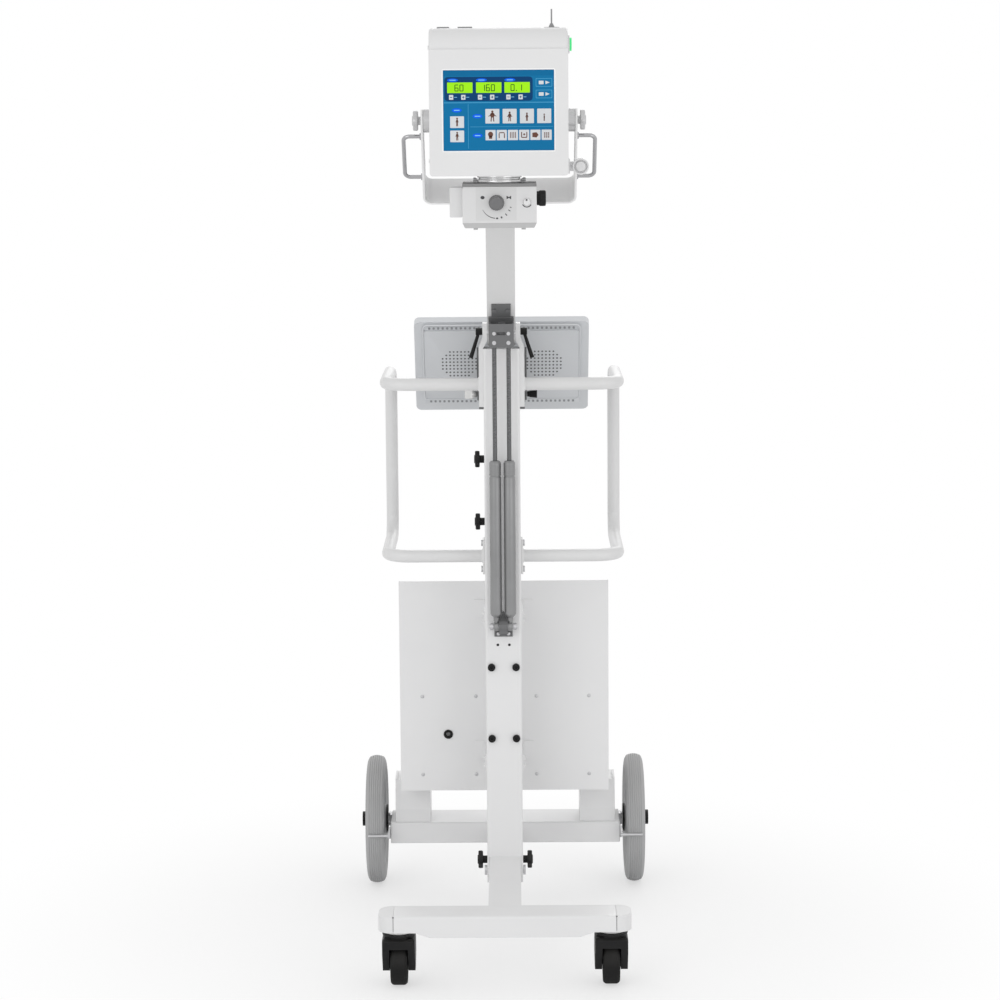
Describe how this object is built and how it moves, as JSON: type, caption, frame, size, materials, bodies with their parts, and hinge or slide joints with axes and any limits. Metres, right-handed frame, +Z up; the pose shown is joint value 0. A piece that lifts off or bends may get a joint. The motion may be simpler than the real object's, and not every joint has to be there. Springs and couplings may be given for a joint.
{
  "type": "mobile x-ray stand",
  "caption": "Wheeled stand with a gas-spring arm that carries a portable X-ray head and collimator, with handles, monitor and detector bin.",
  "frame": {"origin": "on the floor, below the middle of the whole stand", "axes": "+Z up, +X to the right seen from the head's screen side, -Y the way the head reaches out over the front casters"},
  "size_m": [0.551, 0.8391, 1.6485],
  "materials": {
    "white_paint": "satin powder coat",
    "white_plastic": "fine moulded grain",
    "head_trim": "satin",
    "steel": "zinc plated",
    "bright_steel": "polished",
    "rod_steel": "dark nitrided",
    "grey_tyre": "matte grey rubber",
    "wheel_grey": "moulded",
    "black_plastic": "satin moulded",
    "black_rubber": "matte",
    "black_steel": "black oxide",
    "dark_bracket": "satin dark grey",
    "grey_spring": "satin grey",
    "grey_knob": "satin grey",
    "screen": "lit touch panel",
    "dial_grey": "satin",
    "green_switch": "lit push button",
    "monitor_silver": "silver lacquer",
    "monitor_glass": "dark glass"
  },
  "bodies": {
    "base": {"mast_tube": "white_paint", "mast_clevis": "white_paint", "mast_foot_bracket": "white_paint", "crossbar": "white_paint", "rear_spine": "white_paint", "axle_brackets": "white_paint", "stub_axles": "steel", "cabinet_shell": "white_paint", "cabinet_rivets": "steel", "cable_grommet": "black_rubber", "cabinet_brackets": "white_paint", "frame_bolts": "black_steel", "handle_bolts": "steel", "handle_left": "white_paint", "handle_right": "white_paint", "monitor_bracket": "dark_bracket", "spring_foot_bracket": "dark_bracket", "pivot_pins": "steel"},
    "front_leg": {"spine_tube": "white_paint", "front_beam": "white_paint", "beam_end_caps": "white_plastic"},
    "arm": {"arm_tube": "white_paint", "arm_spring_bracket": "dark_bracket"},
    "spring_tubes": {"spring_tubes": "grey_spring"},
    "spring_rods": {"spring_rods": "rod_steel"},
    "yoke": {"yoke_bar": "white_paint", "yoke_hub": "steel", "grab_handles": "bright_steel"},
    "head": {"head_housing": "white_plastic", "head_front_panel": "white_plastic", "head_screen": "screen", "head_fittings": "head_trim", "tilt_pivots": "grey_knob", "collimator_ring": "bright_steel"},
    "power_switch": {"power_switch": "green_switch"},
    "collimator": {"collimator_body": "white_plastic"},
    "collimator_dial": {"collimator_dial": "dial_grey"},
    "collimator_knob": {"collimator_knob": "black_plastic"},
    "light_button": {"light_button": "white_plastic"},
    "monitor": {"monitor_housing": "monitor_silver", "monitor_screen": "monitor_glass"},
    "monitor_knob": {"monitor_knob": "black_plastic"},
    "mast_knob_upper": {"mast_knob_upper": "black_plastic"},
    "mast_knob_lower": {"mast_knob_lower": "black_plastic"},
    "rear_wheel_left": {"wheel_tyre_left": "grey_tyre", "wheel_hub_left": "wheel_grey"},
    "caster_left": {"caster_fork_left": "black_plastic"},
    "caster_wheel_left": {"caster_wheel_left": "black_rubber"},
    "foot_knob_left": {"foot_knob_left": "black_plastic"},
    "clamp_lever_left": {"clamp_lever_left": "black_plastic"},
    "tilt_knob_left": {"tilt_knob_left": "grey_knob"},
    "brake_left": {"brake_left": "steel"},
    "rear_wheel_right": {"wheel_tyre_right": "grey_tyre", "wheel_hub_right": "wheel_grey"},
    "caster_right": {"caster_fork_right": "black_plastic"},
    "caster_wheel_right": {"caster_wheel_right": "black_rubber"},
    "foot_knob_right": {"foot_knob_right": "black_plastic"},
    "clamp_lever_right": {"clamp_lever_right": "black_plastic"},
    "tilt_knob_right": {"tilt_knob_right": "grey_knob"},
    "brake_right": {"brake_right": "steel"}
  },
  "joints": [
    {"name": "rear_wheel_left_spin", "type": "hinge", "parent": "base", "child": "rear_wheel_left", "pos_m": [-0.2475, 0.297, 0.1225], "axis": [1, 0, 0], "continuous": true},
    {"name": "caster_left_swivel", "type": "hinge", "parent": "front_leg", "child": "caster_left", "pos_m": [-0.1815, -0.369, 0.097], "axis": [0, 0, 1], "continuous": true},
    {"name": "caster_left_roll", "type": "hinge", "parent": "caster_left", "child": "caster_wheel_left", "pos_m": [-0.1815, -0.357, 0.0375], "axis": [1, 0, 0], "continuous": true},
    {"name": "foot_knob_left_turn", "type": "hinge", "parent": "base", "child": "foot_knob_left", "pos_m": [-0.04, 0.019, 0.116], "axis": [1, 0, 0], "continuous": true},
    {"name": "clamp_lever_left_turn", "type": "hinge", "parent": "base", "child": "clamp_lever_left", "pos_m": [-0.036, 0.033, 1.087], "axis": [1, 0, 0], "range_deg": [-60, 60]},
    {"name": "tilt_knob_left_turn", "type": "hinge", "parent": "yoke", "child": "tilt_knob_left", "pos_m": [-0.138, -0.3096, 1.46749], "axis": [1, 0, 0], "continuous": true},
    {"name": "brake_left_release", "type": "hinge", "parent": "base", "child": "brake_left", "pos_m": [-0.218, 0.223, 0.112], "axis": [1, 0, 0], "range_deg": [0, 25]},
    {"name": "rear_wheel_right_spin", "type": "hinge", "parent": "base", "child": "rear_wheel_right", "pos_m": [0.2475, 0.297, 0.1225], "axis": [1, 0, 0], "continuous": true},
    {"name": "caster_right_swivel", "type": "hinge", "parent": "front_leg", "child": "caster_right", "pos_m": [0.1815, -0.369, 0.097], "axis": [0, 0, 1], "continuous": true},
    {"name": "caster_right_roll", "type": "hinge", "parent": "caster_right", "child": "caster_wheel_right", "pos_m": [0.1815, -0.357, 0.0375], "axis": [1, 0, 0], "continuous": true},
    {"name": "foot_knob_right_turn", "type": "hinge", "parent": "base", "child": "foot_knob_right", "pos_m": [0.04, 0.019, 0.116], "axis": [1, 0, 0], "continuous": true},
    {"name": "clamp_lever_right_turn", "type": "hinge", "parent": "base", "child": "clamp_lever_right", "pos_m": [0.036, 0.033, 1.087], "axis": [1, 0, 0], "range_deg": [-60, 60]},
    {"name": "tilt_knob_right_turn", "type": "hinge", "parent": "yoke", "child": "tilt_knob_right", "pos_m": [0.138, -0.3096, 1.46749], "axis": [1, 0, 0], "continuous": true},
    {"name": "brake_right_release", "type": "hinge", "parent": "base", "child": "brake_right", "pos_m": [0.218, 0.223, 0.112], "axis": [1, 0, 0], "range_deg": [0, 25]},
    {"name": "front_leg_fold", "type": "hinge", "parent": "base", "child": "front_leg", "pos_m": [0, -0.017, 0.106], "axis": [-1, 0, 0], "range_deg": [0, 80]},
    {"name": "elbow_lift", "type": "hinge", "parent": "base", "child": "arm", "pos_m": [0, 0.033, 1.087], "axis": [-1, 0, 0], "range_deg": [-40, 15]},
    {"name": "spring_swing", "type": "hinge", "parent": "base", "child": "spring_tubes", "pos_m": [0, -0.024, 0.559], "axis": [-1, 0, 0], "range_deg": [-0.5, 1]},
    {"name": "spring_stroke", "type": "slide", "parent": "spring_tubes", "child": "spring_rods", "axis": [0, -0.0151, 0.9999], "range_m": [-0.044, 0.017]},
    {"name": "yoke_roll", "type": "hinge", "parent": "arm", "child": "yoke", "pos_m": [0, -0.20186, 1.34784], "axis": [0, -0.6691, 0.7431], "range_deg": [-90, 90]},
    {"name": "head_tilt", "type": "hinge", "parent": "yoke", "child": "head", "pos_m": [0, -0.3096, 1.46749], "axis": [-1, 0, 0], "range_deg": [-8, 80]},
    {"name": "collimator_turn", "type": "hinge", "parent": "head", "child": "collimator", "pos_m": [0, -0.3296, 1.36009], "axis": [0, 0, 1], "range_deg": [-90, 90]},
    {"name": "collimator_dial_turn", "type": "hinge", "parent": "collimator", "child": "collimator_dial", "pos_m": [-0.005, -0.3796, 1.33409], "axis": [0, -1, 0], "range_deg": [-135, 135]},
    {"name": "collimator_knob_turn", "type": "hinge", "parent": "collimator", "child": "collimator_knob", "pos_m": [0.061, -0.35459, 1.34009], "axis": [1, 0, 0], "range_deg": [-135, 135]},
    {"name": "light_button_press", "type": "slide", "parent": "collimator", "child": "light_button", "axis": [0, 1, 0], "range_m": [0, 0.002], "stiffness_N_per_m": 300},
    {"name": "power_switch_press", "type": "slide", "parent": "head", "child": "power_switch", "axis": [-1, 0, 0], "range_m": [0, 0.0018], "stiffness_N_per_m": 300},
    {"name": "monitor_tilt", "type": "hinge", "parent": "base", "child": "monitor", "pos_m": [0, 0.15, 0.961], "axis": [1, 0, 0], "range_deg": [-30, 5]},
    {"name": "monitor_knob_turn", "type": "hinge", "parent": "monitor", "child": "monitor_knob", "pos_m": [0.05, 0.15, 0.961], "axis": [1, 0, 0], "continuous": true},
    {"name": "mast_knob_upper_turn", "type": "hinge", "parent": "base", "child": "mast_knob_upper", "pos_m": [-0.045, 0.033, 0.856], "axis": [1, 0, 0], "continuous": true},
    {"name": "mast_knob_lower_turn", "type": "hinge", "parent": "base", "child": "mast_knob_lower", "pos_m": [-0.045, 0.033, 0.742], "axis": [1, 0, 0], "continuous": true}
  ],
  "couplings": [
    {"joint": "spring_swing", "follows": "elbow_lift", "ratio": -0.0205},
    {"joint": "spring_stroke", "follows": "elbow_lift", "m_per_rad": 0.0616}
  ]
}
